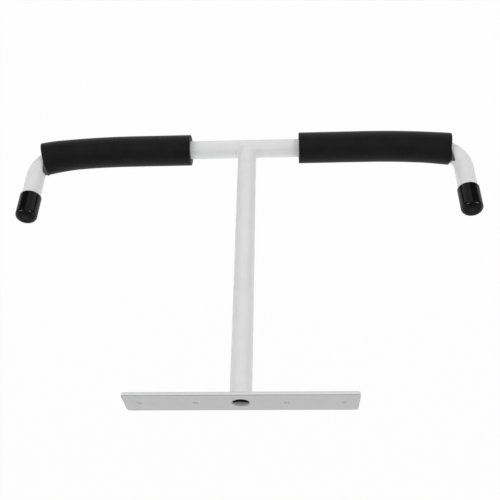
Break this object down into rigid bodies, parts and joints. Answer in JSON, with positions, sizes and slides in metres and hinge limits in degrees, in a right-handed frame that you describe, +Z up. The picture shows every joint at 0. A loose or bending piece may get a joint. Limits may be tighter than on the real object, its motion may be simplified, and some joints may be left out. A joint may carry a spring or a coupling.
{
  "type": "pull up bar",
  "caption": "Joist-mounted pull-up bar: flat mounting plate, tube stem and a welded cross bar with upturned ends, foam grips and push-on end caps.",
  "frame": {"origin": "centre of the mounting plate's outer face, midway between the screw holes", "axes": "as installed: +Z up into the joist, X along the plate and the cross bar, Y across the plate"},
  "size_m": [0.734, 0.0502, 0.4751],
  "materials": {
    "white_powder_coat": "satin",
    "black_foam": "matte",
    "black_vinyl": "gloss"
  },
  "bodies": {
    "frame": {"mounting_plate": "white_powder_coat", "stem_tube": "white_powder_coat", "plate_weld": "white_powder_coat", "cross_bar": "white_powder_coat", "left_bar_weld": "white_powder_coat", "right_bar_weld": "white_powder_coat", "left_grip": "black_foam", "right_grip": "black_foam"},
    "left_cap": {"left_end_cap": "black_vinyl"},
    "right_cap": {"right_end_cap": "black_vinyl"}
  },
  "joints": [
    {"name": "left_cap_pull", "type": "slide", "parent": "frame", "child": "left_cap", "axis": [0, 0, 1], "range_m": [0, 0.05]},
    {"name": "right_cap_pull", "type": "slide", "parent": "frame", "child": "right_cap", "axis": [0, 0, 1], "range_m": [0, 0.05]}
  ]
}
